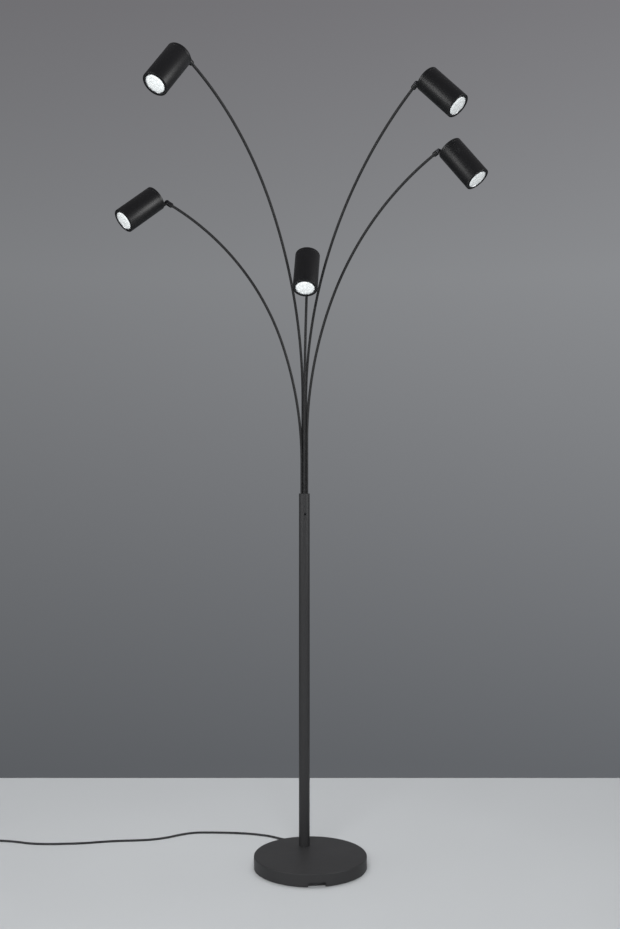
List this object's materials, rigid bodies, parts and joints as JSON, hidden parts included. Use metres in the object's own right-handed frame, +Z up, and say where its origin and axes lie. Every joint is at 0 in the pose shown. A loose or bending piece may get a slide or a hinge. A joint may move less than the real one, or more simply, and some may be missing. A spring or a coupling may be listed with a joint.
{
  "type": "tree floor lamp",
  "caption": "Tree floor lamp: weighted round base, pole, curved arms that fan out, tilting tubular spotlights, mains cord with foot switch and flat plug.",
  "frame": {"origin": "on the floor, under the middle of the round base", "axes": "+Z up, -Y the front, towards which the arms fan out, +X right as seen from the front"},
  "size_m": [1.3664, 0.6514, 1.7427],
  "materials": {
    "black_paint": "fine matt black powder coat",
    "cast_weight": "raw casting",
    "floor_pad": "matt",
    "bright_steel": "zinc plated",
    "black_steel": "black oxide",
    "lead": "matt",
    "cord": "smooth matt sheath",
    "black_plastic": "fine grain",
    "white_plastic": "matt",
    "lamp_body": "white with a frosted front"
  },
  "bodies": {
    "stand": {"base_pad": "floor_pad", "base_weight": "cast_weight", "base_cover": "black_paint", "base_clamp": "bright_steel", "pole_foot": "bright_steel", "pole": "black_paint", "arm_holder": "black_paint", "holder_screw": "black_steel", "arm_tips": "black_paint", "arm_leads": "lead", "lead_joint": "white_plastic", "pole_lead": "lead", "strain_relief": "black_plastic", "base_cord": "cord", "switch_base": "black_plastic", "switch_cover": "black_plastic", "plug_cord": "cord", "cord_coil": "cord", "plug": "black_plastic", "arm_tube_a": "black_paint", "arm_tube_b": "black_paint", "arm_tube_c": "black_paint", "arm_tube_d": "black_paint", "arm_tube_e": "black_paint"},
    "button": {"switch_button": "black_plastic"},
    "knuckle_a": {"fork_a": "black_paint", "pivot_screw_a": "black_steel"},
    "spotlight_a": {"rear_cap_a": "black_paint", "shell_a": "black_paint", "lamp_socket_a": "white_plastic", "lamp_a": "lamp_body", "front_ring_a": "black_plastic"},
    "knuckle_b": {"fork_b": "black_paint", "pivot_screw_b": "black_steel"},
    "spotlight_b": {"rear_cap_b": "black_paint", "shell_b": "black_paint", "lamp_socket_b": "white_plastic", "lamp_b": "lamp_body", "front_ring_b": "black_plastic"},
    "knuckle_c": {"fork_c": "black_paint", "pivot_screw_c": "black_steel"},
    "spotlight_c": {"rear_cap_c": "black_paint", "shell_c": "black_paint", "lamp_socket_c": "white_plastic", "lamp_c": "lamp_body", "front_ring_c": "black_plastic"},
    "knuckle_d": {"fork_d": "black_paint", "pivot_screw_d": "black_steel"},
    "spotlight_d": {"rear_cap_d": "black_paint", "shell_d": "black_paint", "lamp_socket_d": "white_plastic", "lamp_d": "lamp_body", "front_ring_d": "black_plastic"},
    "knuckle_e": {"fork_e": "black_paint", "pivot_screw_e": "black_steel"},
    "spotlight_e": {"rear_cap_e": "black_paint", "shell_e": "black_paint", "lamp_socket_e": "white_plastic", "lamp_e": "lamp_body", "front_ring_e": "black_plastic"}
  },
  "joints": [
    {"name": "swivel_a", "type": "hinge", "parent": "stand", "child": "knuckle_a", "pos_m": [-0.23874, -0.2751, 1.71762], "axis": [-0.4995, -0.7691, 0.3987], "range_deg": [-170, 170]},
    {"name": "swivel_b", "type": "hinge", "parent": "stand", "child": "knuckle_b", "pos_m": [0.21404, -0.18832, 1.6959], "axis": [0.5394, -0.6097, 0.5807], "range_deg": [-170, 170]},
    {"name": "swivel_c", "type": "hinge", "parent": "stand", "child": "knuckle_c", "pos_m": [0.26196, -0.14906, 1.56726], "axis": [0.6972, -0.535, 0.4772], "range_deg": [-100, 100]},
    {"name": "swivel_d", "type": "hinge", "parent": "stand", "child": "knuckle_d", "pos_m": [-0.30483, -0.05414, 1.4802], "axis": [-0.8253, -0.3251, 0.4617], "range_deg": [-170, 170]},
    {"name": "swivel_e", "type": "hinge", "parent": "stand", "child": "knuckle_e", "pos_m": [-0.00598, -0.0035, 1.3612], "axis": [0.0407, -0.2895, 0.9563], "range_deg": [-40, 40]},
    {"name": "tilt_a", "type": "hinge", "parent": "knuckle_a", "child": "spotlight_a", "pos_m": [-0.24623, -0.28663, 1.7236], "axis": [0.806, -0.5813, -0.1118], "range_deg": [-74.5, 59.5]},
    {"name": "tilt_b", "type": "hinge", "parent": "knuckle_b", "child": "spotlight_b", "pos_m": [0.22213, -0.19746, 1.70461], "axis": [0.6336, 0.7482, 0.197], "range_deg": [-82, 52]},
    {"name": "tilt_c", "type": "hinge", "parent": "knuckle_c", "child": "spotlight_c", "pos_m": [0.27242, -0.15708, 1.57441], "axis": [0.5659, 0.8194, 0.0919], "range_deg": [-49, 55]},
    {"name": "tilt_d", "type": "hinge", "parent": "knuckle_d", "child": "spotlight_d", "pos_m": [-0.31721, -0.05902, 1.48713], "axis": [0.4324, -0.8897, 0.1464], "range_deg": [-66, 68]},
    {"name": "tilt_e", "type": "hinge", "parent": "knuckle_e", "child": "spotlight_e", "pos_m": [-0.00537, -0.00784, 1.37554], "axis": [0.9983, -0.0274, -0.0508], "range_deg": [-130.5, 3.5]},
    {"name": "foot_button", "type": "slide", "parent": "stand", "child": "button", "axis": [0, 0, -1], "range_m": [0, 0.0025], "stiffness_N_per_m": 1200, "springref_m": -0.0025}
  ]
}
